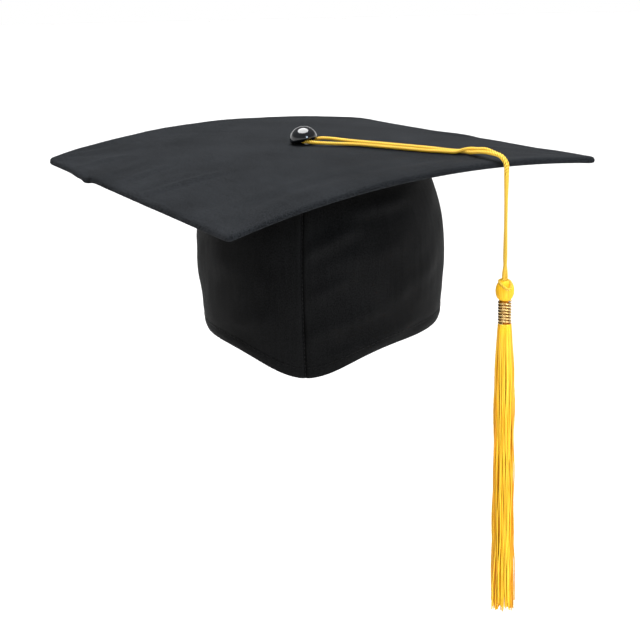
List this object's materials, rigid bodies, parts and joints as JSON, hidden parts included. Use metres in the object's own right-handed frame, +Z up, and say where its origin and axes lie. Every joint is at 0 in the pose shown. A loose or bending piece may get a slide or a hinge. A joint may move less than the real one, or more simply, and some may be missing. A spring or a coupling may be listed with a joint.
{
  "type": "graduation cap",
  "caption": "Mortarboard: a cloth-covered square board on a soft lined crown, with a glossy button and a gold tassel on a doubled cord that swings over the edge.",
  "frame": {"origin": "middle of the head opening, level with the crown's hem at the sides and back", "axes": "+Z up out of the board; the seam at the front of the crown faces -Y, the wearer's left is +X"},
  "size_m": [0.333, 0.333, 0.2793],
  "materials": {
    "top_cloth": "matt woven black cloth",
    "crown_cloth": "matt woven black cloth with a faint sheen",
    "lining_cloth": "smooth lining cloth",
    "card": "stiff pressed board",
    "band": "woven tape",
    "black_gloss": "polished",
    "steel": "plain",
    "gold_cord": "twisted rayon cord",
    "brass": "polished wire",
    "gold_thread": "glossy rayon thread"
  },
  "bodies": {
    "cap": {"board_top_cover": "top_cloth", "board_core": "card", "board_under_cover": "top_cloth", "crown_left": "crown_cloth", "crown_right": "crown_cloth", "crown_stiffener": "card", "crown_lining": "lining_cloth", "sweatband": "band", "back_elastic": "band", "front_seam_tape": "band", "top_seam_tape": "band", "button_dome": "black_gloss", "button_shank": "steel", "button_washer": "steel"},
    "loop": {"cord_loop": "gold_cord"},
    "bend": {"cord_bend": "gold_cord"},
    "drop": {"cord_drop": "gold_cord"},
    "tassel": {"tassel_head": "gold_thread", "tassel_ferrule": "brass", "tassel_skirt": "gold_thread"}
  },
  "joints": [
    {"name": "loop_swivel", "type": "hinge", "parent": "cap", "child": "loop", "pos_m": [-0.0079, 0.0008, 0.1058], "axis": [0, 0, 1], "range_deg": [-45, 0]},
    {"name": "edge_swing", "type": "hinge", "parent": "loop", "child": "bend", "pos_m": [0.10989, -0.06378, 0.09801], "axis": [-0.4808, -0.8768, 0], "range_deg": [-6, 75]},
    {"name": "side_swing", "type": "hinge", "parent": "bend", "child": "drop", "pos_m": [0.10989, -0.06378, 0.09031], "axis": [0.8768, -0.4808, 0], "range_deg": [-40, 40]},
    {"name": "tassel_tilt", "type": "hinge", "parent": "drop", "child": "tassel", "pos_m": [0.10989, -0.06378, 0.02831], "axis": [-0.4808, -0.8768, 0], "range_deg": [-15, 30]}
  ]
}
